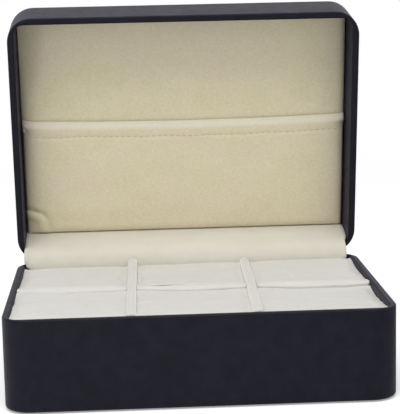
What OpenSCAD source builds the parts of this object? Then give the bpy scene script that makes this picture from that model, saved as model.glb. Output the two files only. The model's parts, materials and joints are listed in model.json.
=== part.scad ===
// Cufflink display box: a hinged case covered in black leatherette. The base holds a pale
// velvet tray of six pads, and the lid has a padded lining with a pocket. A fabric strip
// covers two small barrel hinges.
// +X is to the right seen from the front, +Y to the back and +Z up. The origin is the
// centre of the underside, on the table. The lid is drawn open, resting on its stop.

/* [Case] */
// Width of the case
body_w = 180; // [160:1:220]
// Depth of the case, front to back
body_d = 131; // [116:1:160]
// Height of the base, from the table to its rim
base_h = 43.5; // [40:0.5:55]
// Height of the lid, from its rim to its top
lid_h = 30; // [28:0.5:40]
// Radius of the upright corners on the outside
corner_r = 12.5; // [10:0.5:16]
// Radius of the upright corners on the inside
inner_r = 5; // [3.5:0.5:6.5]
// Thickness of the leatherette with its paper backing
wrap_t = 0.6; // [0.4:0.05:0.8]
// Thickness of the core's walls
core_t = 2.25; // [2:0.05:3]
// Thickness of the core's floor
floor_t = 2.2; // [1.6:0.1:3]
// Thickness of the core's top in the lid
top_t = 2.2; // [1.6:0.1:3]
// Rounding of the long edges at the table and at the top of the lid
edge_r = 1.6; // [1:0.1:2.4]
// Rounding of the two rims
rim_r = 0.9; // [0.85:0.05:1.2]
// Gap between the two rims when the case is shut
rim_gap = 0.4; // [0.3:0.05:0.8]
// How far the leatherette is turned down inside the base
turn_in = 14; // [12:0.5:18]
// How far the leatherette is turned in under the base
under_margin = 9; // [6:0.5:10]
// Thickness of the felt sheet under the base
felt_t = 0.6; // [0.4:0.1:1.2]
// Distance from the case's side to the felt sheet
felt_inset = 5; // [4:0.5:5.5]

/* [Tray] */
// Height of the tray board's underside over the core's floor
riser_h = 17; // [12:0.5:19]
// Thickness of the card walls of the riser
riser_t = 1.5; // [1:0.1:2.5]
// Distance from the core's walls to the riser
riser_inset = 8; // [5:0.5:15]
// Thickness of the tray board
board_t = 1.5; // [1:0.1:2]
// Thickness of the card under each pad
card_t = 1.2; // [0.8:0.1:1.6]
// Clearance round boards and cards
fit_gap = 0.3; // [0.2:0.05:0.5]
// Thickness of a divider with its velvet
divider_t = 4.7; // [3:0.1:6]
// How far the dividers stand over the rim
divider_rise = 0.8; // [0:0.1:1.5]
// Clearance beside each pad
pad_gap = 0.3; // [0.2:0.05:0.6]
// Depth of the rear pads
rear_pad_d = 64; // [50:0.5:70]
// Distance from the inside of the rear wall to the rear pads
rear_space = 2.05; // [1.9:0.05:3]
// How far the rear pads' back edge lies under the rim
rear_sink = 2.2; // [1:0.1:4]
// How far the front pads' back edge lies under the rim
front_sink = 3; // [2:0.1:5]
// How far the crest of every pad's front roll lies under the rim
crest_sink = 0.5; // [0.4:0.1:2]
// Width of a pad's front roll
roll_w = 11; // [8:0.5:14]
// Rounding of a pad's upper edges
pad_edge = 2; // [2:0.1:4]
// How far a pad's sides are drawn in at its foot
pad_draw = 0.9; // [0.4:0.1:1.5]
// Length of the slit in the middle pad
slit_l = 45; // [30:1:48]
// Width of the slit
slit_w = 0.9; // [0.6:0.1:1.5]
// Depth of the slit
slit_depth = 9; // [5:0.5:12]

/* [Lid lining] */
// Distance from the lid's rim to the face of the lining
lining_depth = 21.5; // [20:0.5:24]
// Thickness of the padded lining
lining_t = 4; // [3:0.1:5]
// Rounding of the lining's edges
lining_edge = 2.6; // [2:0.1:2.9]
// How far the lining's middle is crowned
lining_crown = 0.8; // [0.3:0.1:1.5]
// Distance from the inside of the lid's rear wall to the lining
lining_space = 5; // [4:0.1:7]
// Height of the pocket, from the lining's rear edge to its mouth
pocket_h = 63.5; // [50:0.5:80]
// How far the pocket's mouth sags in the middle
pocket_sag = 1.4; // [0:0.1:3]
// Depth of the hem at the pocket's mouth
hem_d = 8; // [7:0.5:12]
// Thickness of the pocket's cloth
cloth_t = 0.6; // [0.4:0.1:0.8]
// Width of the elastic in the hem
elastic_w = 5.5; // [4:0.5:6]
// Thickness of the elastic
elastic_t = 0.5; // [0.3:0.1:0.8]
// Clearance on each side of the elastic, and behind the pocket
cloth_gap = 0.25; // [0.2:0.05:0.4]

/* [Hinges] */
// Angle of the open lid from shut, where it rests on its stop
open_angle = 80.5; // [76:0.5:86]
// Distance from the case's side to the middle of each hinge
hinge_inset = 38; // [30:1:50]
// Width of a hinge
hinge_w = 22; // [16:0.5:30]
// Radius of the hinge pin
pin_r = 0.8; // [0.6:0.05:1]
// Running clearance round the pin
pin_gap = 0.04; // [0.03:0.01:0.08]
// Clearance beside and behind the barrels
barrel_gap = 0.15; // [0.1:0.05:0.3]
// Radius of the pin's peened heads
head_r = 1.15; // [1.1:0.05:1.3]
// Thickness of the pin's heads
head_t = 0.4; // [0.3:0.1:0.6]
// Height of a leaf's plate on the wall
leaf_h = 11; // [9:0.5:12]
// Radius of a rivet's shank
rivet_r = 0.6; // [0.4:0.05:0.8]
// Radius of a rivet's head
rivet_head_r = 1.2; // [1:0.1:1.6]
// Thickness of a rivet's head
rivet_head_t = 0.3; // [0.2:0.05:0.4]
// Width of a snap spring
spring_w = 6; // [4:0.5:7]
// Thickness of a snap spring
spring_t = 0.3; // [0.2:0.05:0.4]
// Clearance beside the hinge strip
strip_margin = 0.4; // [0.3:0.1:3]
// Thickness of the hinge strip
strip_t = 0.5; // [0.4:0.05:0.6]

/* [Hidden] */
$fn = 48;

black = "#26252b";
velvet = "#dcd8ce";
suede = "#c2b89a";
steel = "#b9bbbe";
card = "#8d857a";
wood = "#b09a78";

wall_t = core_t + 2 * wrap_t;
in_w = body_w - 2 * wall_t;
in_d = body_d - 2 * wall_t;
core_in_w = in_w + 2 * wrap_t;
core_in_d = in_d + 2 * wrap_t;
skin_z = felt_t;
core_z = skin_z + wrap_t;
floor_z = core_z + floor_t;
board_z = floor_z + riser_h;
cards_z = board_z + board_t;
pads_z = cards_z + card_t;

// The lid is drawn shut, from lid_z up, and then turned open about the hinge axis.
lid_z = base_h + rim_gap;
lid_top = lid_z + lid_h;
axis_y = body_d / 2;
axis_z = base_h + rim_gap / 2;
hinge_x = body_w / 2 - hinge_inset;
lining_z = lid_z + lining_depth;
lining_back_z = lining_z + lining_t;
lid_inside_z = lid_top - wrap_t - top_t;
lining_w = in_w - 2 * fit_gap;
lining_front = -in_d / 2 + fit_gap;
lining_rear = in_d / 2 - lining_space;
lining_d = lining_rear - lining_front;
lining_mid = (lining_rear + lining_front) / 2;
lining_r = inner_r - fit_gap;

// Hinge: the leaves are as thick as the leatherette that they take the place of.
leaf_t = wrap_t;
barrel_r = pin_r + pin_gap + leaf_t;
notch_w = hinge_w + 2 * (head_t + barrel_gap);
end_barrel = hinge_w * 0.3;
middle_barrel = hinge_w - 2 * (end_barrel + barrel_gap);
rivet_x = (hinge_w + spring_w) / 4;
rivet_z = (leaf_h + barrel_r) / 2;

// Tray
cell_w = (in_w - 2 * divider_t) / 3;
cell_step = cell_w + divider_t;
pad_w = cell_w - 2 * pad_gap;
rear_pad_back = in_d / 2 - rear_space;
rear_pad_front = rear_pad_back - rear_pad_d;
front_pad_back = rear_pad_front - pad_gap;
front_pad_front = -in_d / 2 + pad_gap;
crest_z = base_h - crest_sink;
pad_r = inner_r - pad_gap;
slit_y = rear_pad_front + roll_w;

// Plain outlines and solids

module rounded_rect(w, d, r) {
    square([w - 2 * r, d], center = true);
    square([w, d - 2 * r], center = true);
    for (x = [-1, 1], y = [-1, 1])
        translate([x * (w / 2 - r), y * (d / 2 - r)]) circle(r);
}

module plate(w, d, r, z0, z1) {
    translate([0, 0, z0]) linear_extrude(z1 - z0) rounded_rect(w, d, r);
}

// Carries a profile round a rounded rectangle. The profile's x runs inwards from the
// rectangle's edge, and its y is the height.
module around(w, d, r) {
    for (turn = [0, 180]) rotate([0, 0, turn]) {
        translate([0, -d / 2, 0]) rotate([90, 0, 90])
            linear_extrude(w - 2 * r, center = true) children();
        rotate([0, 0, 90]) translate([0, -w / 2, 0]) rotate([90, 0, 90])
            linear_extrude(d - 2 * r, center = true) children();
        translate([w / 2 - r, d / 2 - r, 0])
            rotate_extrude(angle = 90) translate([r, 0]) mirror([1, 0]) children();
        translate([r - w / 2, d / 2 - r, 0]) rotate([0, 0, 90])
            rotate_extrude(angle = 90) translate([r, 0]) mirror([1, 0]) children();
    }
}

// A rectangle that reaches right and down from the origin, with its corner there rounded.
module rounded_corner(across, down, r) {
    translate([r, -down]) square([across - r, down]);
    translate([0, -down]) square([across, down - r]);
    translate([r, -r]) circle(r);
}

// A block whose long edges are rounded at the foot and at the head. Its rim is carried
// round it, and laps over a plain plate in the middle.
module rounded_block(w, d, r, z0, z1, foot_r, head_r) {
    height = z1 - z0;
    lap = r * 0.6;
    inset = r * 0.4;
    around(w, d, r) {
        translate([0, z1]) rounded_corner(lap, height - foot_r, head_r);
        translate([0, z0]) mirror([0, 1]) rounded_corner(lap, height - head_r, foot_r);
    }
    plate(w - 2 * inset, d - 2 * inset, r - inset, z0, z1);
}

// Places what is drawn shut on the open lid.
module on_open_lid() {
    translate([0, axis_y, axis_z]) rotate([-open_angle, 0, 0])
        translate([0, -axis_y, -axis_z]) children();
}

module at_hinges() {
    for (x = [-1, 1]) translate([x * hinge_x, axis_y, axis_z]) children();
}

// What is cut from a wall for the hinges: a notch across the rim for the barrels, and a
// window in the turned-in leatherette for the leaf. side is 1 on the lid, -1 on the base.
module barrel_notches(side) {
    height = 1 + barrel_r + barrel_gap;
    at_hinges() translate([-notch_w / 2, -wall_t - 1, side > 0 ? -1 : 1 - height])
        cube([notch_w, wall_t + 2 + barrel_r, height]);
}

module leaf_windows(side) {
    height = leaf_h + barrel_gap;
    at_hinges() translate([-notch_w / 2, -wall_t - 1, side > 0 ? 0 : -height])
        cube([notch_w, 1 + wrap_t, height]);
}

module rivet_places(side) {
    for (x = [-1, 1])
        translate([x * rivet_x, -wall_t, side * rivet_z]) rotate([-90, 0, 0]) children();
}

module rivet_holes(side) {
    at_hinges() rivet_places(side)
        translate([0, 0, -1]) cylinder(r = rivet_r + pin_gap, h = wall_t + 1);
}

// Base

module base_shell() {
    color(wood) difference() {
        union() {
            core_block(core_z, base_h - wrap_t, edge_r, rim_r);
            // The underside stands out between the turned-in margins, down to the felt.
            plate(body_w - 2 * (under_margin + fit_gap), body_d - 2 * (under_margin + fit_gap),
                inner_r, skin_z, core_z);
        }
        plate(core_in_w, core_in_d, inner_r + wrap_t, floor_z, base_h + 1);
        barrel_notches(-1);
        rivet_holes(-1);
    }
}

module base_wrap() {
    color(black) difference() {
        rounded_block(body_w, body_d, corner_r, skin_z, base_h, edge_r, rim_r);
        difference() {
            core_block(core_z, base_h - wrap_t, edge_r, rim_r);
            plate(core_in_w, core_in_d, inner_r + wrap_t, base_h - turn_in, base_h);
        }
        plate(in_w, in_d, inner_r, base_h - turn_in - 1, base_h + 1);
        plate(body_w - 2 * under_margin, body_d - 2 * under_margin, inner_r,
            skin_z - 1, core_z + 1);
        around(in_w, in_d, inner_r) translate([0, base_h]) rim_cutter();
        barrel_notches(-1);
        leaf_windows(-1);
    }
}

// What the leatherette lies over: the same block, smaller by the leatherette.
module core_block(z0, z1, foot_r, head_r) {
    rounded_block(body_w - 2 * wrap_t, body_d - 2 * wrap_t, corner_r - wrap_t,
        z0, z1, foot_r - wrap_t, head_r - wrap_t);
}

// What is cut from the inner edge of a rim to round it.
module rim_cutter() {
    difference() {
        translate([-rim_r, -rim_r]) square(2 * rim_r);
        translate([-rim_r, -rim_r]) circle(rim_r);
    }
}

module base_felt() {
    color(black) plate(body_w - 2 * felt_inset, body_d - 2 * felt_inset,
        corner_r - felt_inset, 0, felt_t);
}

// Tray

module tray_riser() {
    riser_w = core_in_w - 2 * riser_inset;
    riser_d = core_in_d - 2 * riser_inset;
    color(card) difference() {
        plate(riser_w, riser_d, riser_t, floor_z, board_z);
        translate([0, 0, -1]) plate(riser_w - 2 * riser_t, riser_d - 2 * riser_t,
            riser_t / 2, floor_z, board_z + 2);
    }
}

module tray_board() {
    color(card) plate(core_in_w - 2 * fit_gap, core_in_d - 2 * fit_gap,
        inner_r + wrap_t - fit_gap, board_z, cards_z);
}

module pad_cards() {
    color(card) for (column = [-1:1]) translate([column * cell_step, 0, 0]) {
        pad_card(rear_pad_front, rear_pad_back);
        pad_card(front_pad_front, front_pad_back);
    }
}

module pad_card(front, back) {
    foot_w = pad_w - 2 * pad_draw;
    foot_d = back - front - 2 * pad_draw;
    translate([0, (front + back) / 2, 0])
        plate(foot_w, foot_d, pad_r - pad_draw, cards_z, pads_z);
}

// A velvet-covered card on edge, with a rounded top.
module divider(column) {
    length = rear_pad_back - front_pad_front;
    top_r = divider_t / 2;
    color(velvet)
        translate([column * cell_step / 2, rear_pad_back, 0]) rotate([90, 0, 0])
            linear_extrude(length) {
                translate([-top_r, cards_z])
                    square([divider_t, base_h + divider_rise - top_r - cards_z]);
                translate([0, base_h + divider_rise - top_r]) circle(top_r);
            }
}

module divider_left() { divider(-1); }
module divider_right() { divider(1); }

// Soft forms are lofted through rings. Every ring follows the same rounded rectangle,
// with steps points along each side and bend points round each corner.
steps = 6;
bend = 3;

function corner_arc(cx, cy, r, start) =
    [for (i = [0:bend]) let (a = start + 90 * i / bend) [cx + r * cos(a), cy + r * sin(a)]];

function side_points(a, b) = [for (i = [1:steps - 1]) a + (b - a) * i / steps];

// The outline starts at the middle of its right side and runs anticlockwise.
function ring_outline(w, d, r) =
    let (x = w / 2 - r, y = d / 2 - r,
        arcs = [corner_arc(x, y, r, 0), corner_arc(-x, y, r, 90),
            corner_arc(-x, -y, r, 180), corner_arc(x, -y, r, 270)],
        loop = [for (k = [0:3])
            each concat(arcs[k], side_points(arcs[k][bend], arcs[(k + 1) % 4][0]))],
        count = len(loop))
    [for (i = [0:count - 1]) loop[(i + count - steps / 2) % count]];

// The two triangles between points a and b of one ring and points c and d of the next.
function two_sided(a, b, c, d) = [[a, c, d], [a, d, b]];

function middle_of(ring) = [for (k = [0:2]) [for (p = ring) p[k]] * [for (p = ring) 1] / len(ring)];

// Joins rings of equal length into a closed solid, from its foot to its head. Each end
// is closed round a point in its middle.
module loft(rings) {
    n = len(rings[0]);
    count = len(rings);
    last = (count - 1) * n;
    sides = [for (low = [0:n:last - n], i = [0:n - 1]) let (j = (i + 1) % n)
        each two_sided(low + i, low + j, low + n + i, low + n + j)];
    foot = [for (i = [0:n - 1]) [count * n, i, (i + 1) % n]];
    head = [for (i = [0:n - 1]) [count * n + 1, last + (i + 1) % n, last + i]];
    polyhedron(
        points = concat([for (ring = rings) each ring], [middle_of(rings[0]), middle_of(rings[count - 1])]),
        faces = concat(sides, foot, head));
}

// How far an edge rounded to r lies under its top, at a distance e inside it.
function edge_drop(e, r) = e >= r ? 0 : r - sqrt(r * r - (r - e) * (r - e));

// Height of a pad's top at the distance y behind its front edge: level with its back edge
// at first, then swelling into a roll along the front.
function pad_top(y, back_z, length) =
    let (rise = crest_z - back_z, along = 1 - y / length, roll = y / roll_w - 0.45)
    back_z + rise * (0.35 * along + 0.65 * exp(-3 * roll * roll));

// Each ring of a pad is [how far it is drawn in, its height]: the foot and sides first.
module pad(column, front, back, back_z) {
    length = back - front;
    side_h = back_z - pad_edge - pads_z;
    sides = [[pad_draw, pads_z], [pad_draw * 0.3, pads_z + side_h * 0.35], [0, pads_z + side_h * 0.8]];
    top = [0, pad_edge * 0.12, pad_edge * 0.4, pad_edge, pad_edge * 2.2, pad_w * 0.22, pad_w * 0.4];
    color(velvet) translate([column * cell_step, (front + back) / 2, 0])
        loft(concat(
            [for (ring = sides) [for (p = pad_outline(ring[0], length)) [p[0], p[1], ring[1]]]],
            [for (e = top) [for (p = pad_outline(e, length))
                [p[0], p[1], pad_top(p[1] + length / 2, back_z, length) - edge_drop(e, pad_edge)]]]));
}

function pad_outline(e, length) =
    ring_outline(pad_w - 2 * e, length - 2 * e, max(pad_r - e, pad_r / 5));

module front_pad(column) {
    pad(column, front_pad_front, front_pad_back, base_h - front_sink);
}

module rear_pad(column) {
    pad(column, rear_pad_front, rear_pad_back, base_h - rear_sink);
}

module pad_front_left() { front_pad(-1); }
module pad_front_middle() { front_pad(0); }
module pad_front_right() { front_pad(1); }
module pad_rear_left() { rear_pad(-1); }
module pad_rear_right() { rear_pad(1); }

// The middle pad has a slit behind its roll, which takes the foot of a cufflink.
module pad_rear_middle() {
    color(velvet) difference() {
        rear_pad(0);
        translate([-slit_l / 2, slit_y - slit_w / 2, crest_z - slit_depth])
            cube([slit_l, slit_w, slit_depth + 5]);
    }
}

// Lid. Everything here is drawn shut and then turned open.

module lid_shell() {
    color(wood) on_open_lid() difference() {
        core_block(lid_z + wrap_t, lid_top - wrap_t, rim_r, edge_r);
        plate(core_in_w, core_in_d, inner_r + wrap_t, lid_z - 1, lid_inside_z);
        barrel_notches(1);
        rivet_holes(1);
    }
}

module lid_wrap() {
    color(black) on_open_lid() difference() {
        rounded_block(body_w, body_d, corner_r, lid_z, lid_top, rim_r, edge_r);
        difference() {
            core_block(lid_z + wrap_t, lid_top - wrap_t, rim_r, edge_r);
            plate(core_in_w, core_in_d, inner_r + wrap_t, lid_z, lid_inside_z);
        }
        plate(in_w, in_d, inner_r, lid_z - 1, lid_inside_z + 1);
        around(in_w, in_d, inner_r) translate([0, lid_z]) mirror([0, 1]) rim_cutter();
        barrel_notches(1);
        leaf_windows(1);
    }
}

module lining_card() {
    color(card) on_open_lid()
        plate(lining_w, in_d - 2 * fit_gap, lining_r, lining_back_z, lid_inside_z);
}

// Height of the lining's face over its back, at a distance e inside its outline.
function lining_face(e) =
    let (middle = 1 - min(e / (lining_d / 2), 1))
    lining_t - edge_drop(e, lining_edge) + lining_crown * (1 - middle * middle);

function lining_outline(e) =
    ring_outline(lining_w - 2 * e, lining_d - 2 * e, max(lining_r - e, lining_r / 5));

module lid_lining() {
    insets = [0, lining_edge * 0.12, lining_edge * 0.4, lining_edge, lining_edge * 2.2,
        lining_d * 0.1, lining_d * 0.22, lining_d * 0.36];
    foot = [for (p = lining_outline(lining_edge * 0.2)) [p[0], p[1], 0]];
    faces = [for (e = insets) [for (p = lining_outline(e)) [p[0], p[1], lining_face(e)]]];
    color(suede) on_lining() loft(concat([foot], faces));
}

// The lining's own frame: x to the right, y to the rear edge, z from its back to the rim.
module on_lining() {
    on_open_lid() translate([0, lining_mid, lining_back_z]) mirror([0, 0, 1]) children();
}

// Pocket: one cloth, folded back at the mouth into a hem that holds an elastic. Its
// outline is a list of [y behind the mouth, height over the lining's face].
hem_h = 2 * cloth_t + elastic_t + 2 * cloth_gap;
elastic_z = cloth_gap + cloth_t + cloth_gap;
pocket_w = lining_w - lining_edge * 0.5;
pocket_rear = lining_d / 2 - lining_edge * 0.2;
pocket_stations = 14;

function half_turn(radius, n) =
    [for (i = [0:n]) let (a = 90 + 180 * i / n) [radius * cos(a), radius * sin(a)]];

// The fold at the mouth, seen from the side, for the outer or the inner face of the cloth.
function mouth_fold(radius) =
    [for (p = half_turn(radius, 6)) [hem_h / 2 + p[0], cloth_gap + hem_h / 2 + p[1]]];

// Where the cloth's rows lie between the lining's rear edge and the hem. They crowd where
// the lining's edge is round.
function pocket_rows(rest) =
    let (flat = rest - 2.2 * lining_edge)
    concat([for (e = [0, 0.3, 1]) rest - e * lining_edge],
        [for (i = [0:3]) flat - (flat - hem_d * 1.9) * i / 3]);

function pocket_line(rest) = concat(
    [for (y = pocket_rows(rest)) [y, cloth_gap + cloth_t]],
    [[hem_d * 1.25, cloth_gap + cloth_t * 1.6]],
    mouth_fold(hem_h / 2),
    [[hem_d, cloth_gap], [hem_d, cloth_gap + cloth_t]],
    reverse(mouth_fold(hem_h / 2 - cloth_t)),
    [[hem_d * 0.95, cloth_gap + hem_h - cloth_t], [hem_d * 1.25, cloth_gap + cloth_t * 0.6]],
    [for (y = reverse(pocket_rows(rest))) [y, cloth_gap]]);

function reverse(points) = [for (i = [len(points) - 1:-1:0]) points[i]];

function mouth_y(x) =
    pocket_rear - pocket_h + pocket_sag * (1 - pow(2 * x / pocket_w, 2));

// Stations crowd towards the sides, where the lining's edge is round.
function station_x(i) = pocket_w / 2 * sin(180 * i / pocket_stations - 90);

function over_lining(x, y) =
    lining_face(max(0, min(lining_w / 2 - abs(x), lining_d / 2 - abs(y))));

// Sweeps a closed line along x over the lining's face, station by station.
module over_face(line_at) {
    lines = [for (i = [0:pocket_stations]) let (x = station_x(i))
        [for (p = line_at(x)) [x, p[0], over_lining(x, p[0]) + p[1]]]];
    n = len(lines[0]);
    last = pocket_stations * n;
    sides = [for (low = [0:n:last - n], i = [0:n - 1]) let (j = (i + 1) % n)
        each two_sided(low + j, low + i, low + n + j, low + n + i)];
    ends = [[for (i = [n - 1:-1:0]) i], [for (i = [0:n - 1]) last + i]];
    polyhedron(points = [for (line = lines) each line], faces = concat(sides, ends));
}

module lid_pocket() {
    color(suede) on_lining() over_face(function (x)
        let (mouth = mouth_y(x))
        [for (p = pocket_line(pocket_rear - mouth)) [mouth + p[0], p[1]]]);
}

module pocket_elastic() {
    color(velvet) on_lining() over_face(function (x)
        let (near = mouth_y(x) + hem_h / 2, far = near + elastic_w, high = elastic_z + elastic_t)
        [[far, high], [near, high], [near, elastic_z], [far, elastic_z]]);
}

// Hinges. Each is drawn about its own axis, with y to the back and z up.

module hinge_leaf(barrels, side) {
    difference() {
        union() {
            translate([-hinge_w / 2, -wall_t, side > 0 ? barrel_r - leaf_t : -leaf_h])
                cube([hinge_w, leaf_t, leaf_h + leaf_t - barrel_r]);
            for (b = barrels) translate([b[0], 0, 0]) {
                translate([0, -wall_t, side > 0 ? barrel_r - leaf_t : -barrel_r])
                    cube([b[1], wall_t, leaf_t]);
                rotate([0, 90, 0]) cylinder(r = barrel_r, h = b[1]);
            }
        }
        translate([-hinge_w, 0, 0]) rotate([0, 90, 0])
            cylinder(r = pin_r + pin_gap, h = 2 * hinge_w);
        rivet_places(side) translate([0, 0, -1]) cylinder(r = rivet_r + pin_gap, h = 3);
    }
}

// Each barrel is [its start, its length].
end_barrels = [[-hinge_w / 2, end_barrel], [hinge_w / 2 - end_barrel, end_barrel]];
middle_barrels = [[-middle_barrel / 2, middle_barrel]];

module hinge_at(side) {
    translate([side * hinge_x, axis_y, axis_z]) children();
}

module leaf_base(side) {
    color(steel) hinge_at(side) hinge_leaf(end_barrels, -1);
}

module leaf_lid(side) {
    color(steel) on_open_lid() hinge_at(side) hinge_leaf(middle_barrels, 1);
}

module hinge_pin(side) {
    color(steel) hinge_at(side) rotate([0, 90, 0]) {
        cylinder(r = pin_r, h = hinge_w + head_t, center = true);
        for (end = [-1, 1])
            translate([0, 0, end * (hinge_w + head_t + 2 * pin_gap) / 2])
                cylinder(r = head_r, h = head_t, center = true);
    }
}

module rivets(side) {
    at_hinges() rivet_places(side) {
        translate([0, 0, -rivet_head_t]) cylinder(r = rivet_head_r, h = rivet_head_t);
        cylinder(r = rivet_r, h = wall_t - wrap_t - pin_gap);
    }
}

module leaf_base_left() { leaf_base(-1); }
module leaf_base_right() { leaf_base(1); }
module leaf_lid_left() { leaf_lid(-1); }
module leaf_lid_right() { leaf_lid(1); }
module pin_left() { hinge_pin(-1); }
module pin_right() { hinge_pin(1); }
module rivets_base() { color(steel) rivets(-1); }
module rivets_lid() { color(steel) on_open_lid() rivets(1); }

// Strips that cross the hinge: a curve through chosen points in the plane of y and z,
// measured from the hinge axis, with the lid open.

// Where a point of the shut lid lies on the open one.
function open_at(y, z) = [y * cos(open_angle) + z * sin(open_angle),
    z * cos(open_angle) - y * sin(open_angle)];

// A smooth curve from p[1] to the last point but one, with n steps between points.
function through(p, n) = [for (k = [1:len(p) - 3], i = [0:k == len(p) - 3 ? n : n - 1])
    let (t = i / n)
    0.5 * (2 * p[k] + (p[k + 1] - p[k - 1]) * t
        + (2 * p[k - 1] - 5 * p[k] + 4 * p[k + 1] - p[k + 2]) * t * t
        + (3 * p[k] - p[k - 1] - 3 * p[k + 1] + p[k + 2]) * t * t * t)];

function with_ends(p) = concat([2 * p[0] - p[1]], p, [2 * p[len(p) - 1] - p[len(p) - 2]]);

function sideways(c, i) =
    let (d = c[min(i + 1, len(c) - 1)] - c[max(i - 1, 0)]) [-d[1], d[0]] / norm(d);

// The outline of a band of thickness t along a curve.
function band(c, t) = concat(
    [for (i = [0:len(c) - 1]) c[i] + sideways(c, i) * t / 2],
    [for (i = [len(c) - 1:-1:0]) c[i] - sideways(c, i) * t / 2]);

module crossing_strip(points, t, width) {
    translate([0, axis_y, axis_z]) rotate([90, 0, 90])
        linear_extrude(width, center = true) polygon(band(through(with_ends(points), 5), t));
}

// The inner edge of the open lid's rear rim, which both strips pass over.
rim_edge = open_at(-wall_t, rim_gap / 2);
strip_y = -wall_t - (rear_space + spring_t + cloth_gap) / 2;

// The strip is as wide as the case's rounded inner corners allow at its back.
strip_back = -strip_y - wall_t - strip_t / 2;
corner_reach = inner_r - sqrt(inner_r * inner_r - pow(inner_r - strip_back, 2));
strip_w = in_w - 2 * (corner_reach + strip_margin);
strip_lid_y = -wall_t - lining_space + cloth_t + cloth_gap;
strip_points = [
    [strip_y, pads_z + 2 - axis_z], [strip_y, -8], [strip_y, -2.2],
    [strip_y + 0.6, 0.9], rim_edge + [-2.2, 0.5], rim_edge + [0.8, 2.6], rim_edge + [4.6, 4.2],
    open_at(strip_lid_y, lining_depth * 0.63), open_at(strip_lid_y, lining_depth - 2),
    open_at(strip_lid_y + 0.5, lining_depth + 1.2),
    open_at(strip_lid_y + 0.8, lining_depth + lining_t - fit_gap)
];
spring_y = -wall_t - spring_t / 2 - barrel_gap;
spring_points = [
    [spring_y, 1 - leaf_h], [spring_y, -2.2], [spring_y, 0.2],
    rim_edge + [-2.5, -0.7], rim_edge + [-0.5, 0.7],
    open_at(spring_y, 2.6), open_at(spring_y, leaf_h - 1)
];

module hinge_strip() {
    color(velvet) crossing_strip(strip_points, strip_t, strip_w);
}

module snap_spring(side) {
    color(steel) translate([side * hinge_x, 0, 0])
        crossing_strip(spring_points, spring_t, spring_w);
}

module snap_spring_left() { snap_spring(-1); }
module snap_spring_right() { snap_spring(1); }

base_shell();
base_wrap();
base_felt();
tray_riser();
tray_board();
pad_cards();
divider_left();
divider_right();
pad_front_left();
pad_front_middle();
pad_front_right();
pad_rear_left();
pad_rear_middle();
pad_rear_right();
leaf_base_left();
leaf_base_right();
pin_left();
pin_right();
rivets_base();
lid_shell();
lid_wrap();
lining_card();
lid_lining();
lid_pocket();
pocket_elastic();
leaf_lid_left();
leaf_lid_right();
rivets_lid();
hinge_strip();
snap_spring_left();
snap_spring_right();
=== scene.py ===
# Looks of a cufflink display box: black leatherette over fibreboard, a velvet tray of six
# pads in the base, and a suede-cloth lining with a pocket in the lid. Lengths are in metres,
# in the frame of the construction model: +X right, +Y back, +Z up, on the table at z = 0.
import json
import math

import bpy
from mathutils import Matrix, Vector, noise


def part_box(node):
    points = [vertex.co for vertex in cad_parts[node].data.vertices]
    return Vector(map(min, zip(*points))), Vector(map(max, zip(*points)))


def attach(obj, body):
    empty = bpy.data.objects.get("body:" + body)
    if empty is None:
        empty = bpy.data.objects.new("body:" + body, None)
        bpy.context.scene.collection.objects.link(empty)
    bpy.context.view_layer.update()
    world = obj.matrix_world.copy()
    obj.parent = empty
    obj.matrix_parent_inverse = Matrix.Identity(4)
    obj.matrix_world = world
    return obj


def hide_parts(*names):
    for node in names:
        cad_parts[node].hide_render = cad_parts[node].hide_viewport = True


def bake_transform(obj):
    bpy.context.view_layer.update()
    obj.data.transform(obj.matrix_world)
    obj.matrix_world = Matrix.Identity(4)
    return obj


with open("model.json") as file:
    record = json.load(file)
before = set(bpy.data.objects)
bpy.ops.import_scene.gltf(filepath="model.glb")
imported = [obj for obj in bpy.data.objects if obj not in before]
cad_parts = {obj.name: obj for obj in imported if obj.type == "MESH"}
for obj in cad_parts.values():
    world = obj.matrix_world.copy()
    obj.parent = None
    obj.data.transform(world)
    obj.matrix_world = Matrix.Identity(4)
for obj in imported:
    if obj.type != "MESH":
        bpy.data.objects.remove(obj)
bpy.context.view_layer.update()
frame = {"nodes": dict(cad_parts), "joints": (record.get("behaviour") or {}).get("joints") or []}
MM = 0.001

# Camera
# A studio shot from the front, a little from the left and from above. The place and the
# angles come from the box's own edges in the photograph.
CAMERA_PLACE = (-0.03364, -0.70237, 0.19850)
CAMERA_YAW = math.radians(3.049)
CAMERA_PITCH = math.radians(9.436)
CAMERA_ROLL = math.radians(-1.200)
LENS = 127.2
SENSOR_WIDE = 36

bpy.ops.object.camera_add()
camera = bpy.context.object
camera.data.lens = LENS
camera.data.sensor_width = SENSOR_WIDE
camera.matrix_world = (
    Matrix.Translation(CAMERA_PLACE)
    @ Matrix.Rotation(-CAMERA_YAW, 4, "Z")
    @ Matrix.Rotation(math.pi / 2 - CAMERA_PITCH, 4, "X")
    @ Matrix.Rotation(CAMERA_ROLL, 4, "Z")
)
bpy.context.scene.camera = camera


# Studio
# A white table and backdrop under a big soft light, high in front and a little to the left.
# White shows to the camera and in reflections, with painted shade in the reflections at the
# right, and the table keeps the box's shadow.
def colour(code):
    """An sRGB hex code as linear red, green, blue and alpha."""
    parts = [int(code[i:i + 2], 16) / 255 for i in (1, 3, 5)]
    return [p / 12.92 if p <= 0.04045 else ((p + 0.055) / 1.055) ** 2.4 for p in parts] + [1]


def add(tree, kind, inputs, **settings):
    """One new node, with its settings, and its inputs given values or linked to sockets."""
    new = tree.nodes.new(kind)
    for name, value in settings.items():
        setattr(new, name, value)
    for name, value in inputs.items():
        if isinstance(value, bpy.types.NodeSocket):
            tree.links.new(value, new.inputs[name])
        else:
            new.inputs[name].default_value = value
    return new


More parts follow.
